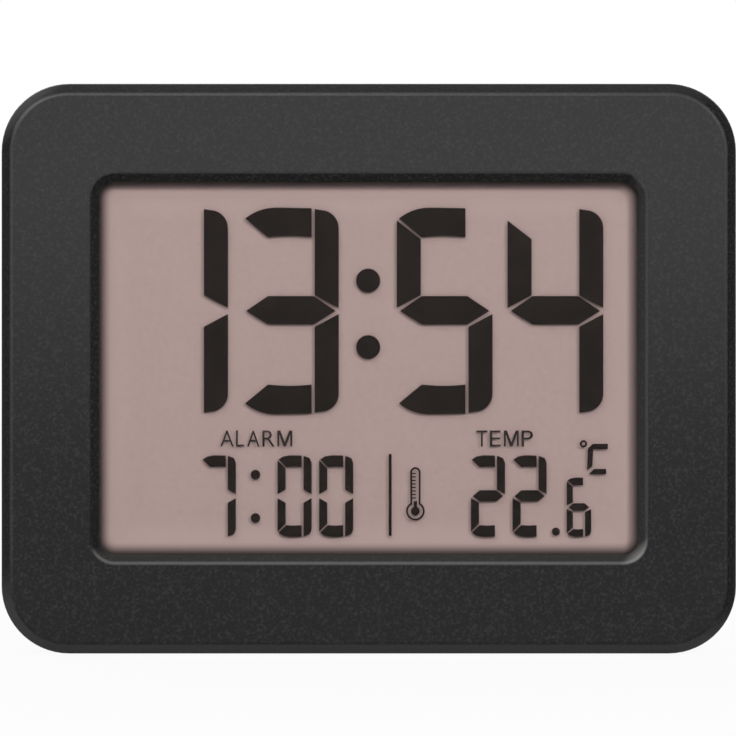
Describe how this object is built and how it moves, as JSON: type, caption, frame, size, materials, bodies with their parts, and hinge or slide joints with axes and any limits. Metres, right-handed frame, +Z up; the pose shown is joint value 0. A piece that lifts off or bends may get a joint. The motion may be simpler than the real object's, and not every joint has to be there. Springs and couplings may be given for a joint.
{
  "type": "digital desk clock",
  "caption": "Free-standing digital desk clock with a liquid crystal display in a rounded case, folding foot, rear keys and battery door.",
  "frame": {"origin": "middle of the flat underside, as the clock stands upright with its foot folded away", "axes": "+X to the right as the face is read, +Y from the face to the back, +Z up"},
  "size_m": [0.165, 0.028, 0.128],
  "materials": {
    "front_housing": "moulded ABS, dark charcoal, fine spark-eroded grain",
    "rear_housing": "moulded ABS, dark charcoal, fine spark-eroded grain",
    "key_plastic": "moulded ABS, near black, smooth satin",
    "clear_lens": "clear acrylic, polished",
    "display_glass": "thin clear glass and film",
    "display_ink": "dark liquid crystal segments",
    "reflector_film": "warm grey reflective film, faintly mottled",
    "white_plastic": "moulded white styrene",
    "black_foam": "closed-cell foam",
    "connector_rubber": "layered silicone and carbon",
    "circuit_board": "green solder mask over glass fibre",
    "nickel_plate": "nickel-plated spring steel",
    "black_resin": "moulded black resin",
    "component_body": "moulded and ceramic component bodies",
    "cell_wrap": "plain shrink-wrapped cell",
    "red_insulation": "soft PVC insulation",
    "black_insulation": "soft PVC insulation"
  },
  "bodies": {
    "housing": {"front_case": "front_housing", "rear_cover": "rear_housing", "window_lens": "clear_lens", "display_gasket": "black_foam", "front_polarizer": "display_glass", "lcd_front_glass": "display_glass", "lcd_segments": "display_ink", "lcd_seal": "display_ink", "lcd_rear_glass": "display_glass", "lcd_reflector": "reflector_film", "display_holder": "white_plastic", "zebra_strip_lower": "connector_rubber", "zebra_strip_upper": "connector_rubber", "main_board": "circuit_board", "controller_chip": "black_resin", "quartz_crystal": "nickel_plate", "board_components": "component_body", "switch_housings": "black_resin", "slide_switch_housing": "nickel_plate", "battery_cell_upper": "cell_wrap", "battery_cell_lower": "cell_wrap", "contact_positive": "nickel_plate", "contact_negative": "nickel_plate", "contact_bridge": "nickel_plate", "lead_positive": "red_insulation", "lead_negative": "black_insulation", "sounder": "black_resin", "temperature_sensor": "black_resin"},
    "door": {"battery_door": "rear_housing"},
    "foot": {"folding_foot": "rear_housing"},
    "alarm_slide": {"slide_knob": "key_plastic", "slide_switch_lever": "black_resin"},
    "set_key": {"key_set": "key_plastic", "plunger_set": "component_body"},
    "up_key": {"key_up": "key_plastic", "plunger_up": "component_body"},
    "down_key": {"key_down": "key_plastic", "plunger_down": "component_body"},
    "snooze_key": {"key_snooze": "key_plastic", "plunger_snooze": "component_body"},
    "unit_key": {"key_unit": "key_plastic", "plunger_unit": "component_body"}
  },
  "joints": [
    {"name": "door_tilt", "type": "hinge", "parent": "housing", "child": "door", "pos_m": [0, 0.0139, 0.0555], "axis": [-1, 0, 0], "range_deg": [0, 60]},
    {"name": "foot_swing", "type": "hinge", "parent": "housing", "child": "foot", "pos_m": [0, 0.0112, 0.009], "axis": [-1, 0, 0], "range_deg": [0, 85]},
    {"name": "alarm_switch_slide", "type": "slide", "parent": "housing", "child": "alarm_slide", "axis": [1, 0, 0], "range_m": [0, 0.0025]},
    {"name": "set_key_press", "type": "slide", "parent": "housing", "child": "set_key", "axis": [0, -1, 0], "range_m": [0, 0.0005], "stiffness_N_per_m": 800},
    {"name": "up_key_press", "type": "slide", "parent": "housing", "child": "up_key", "axis": [0, -1, 0], "range_m": [0, 0.0005], "stiffness_N_per_m": 800},
    {"name": "down_key_press", "type": "slide", "parent": "housing", "child": "down_key", "axis": [0, -1, 0], "range_m": [0, 0.0005], "stiffness_N_per_m": 800},
    {"name": "snooze_key_press", "type": "slide", "parent": "housing", "child": "snooze_key", "axis": [0, -1, 0], "range_m": [0, 0.0005], "stiffness_N_per_m": 800},
    {"name": "unit_key_press", "type": "slide", "parent": "housing", "child": "unit_key", "axis": [0, -1, 0], "range_m": [0, 0.0005], "stiffness_N_per_m": 800}
  ]
}
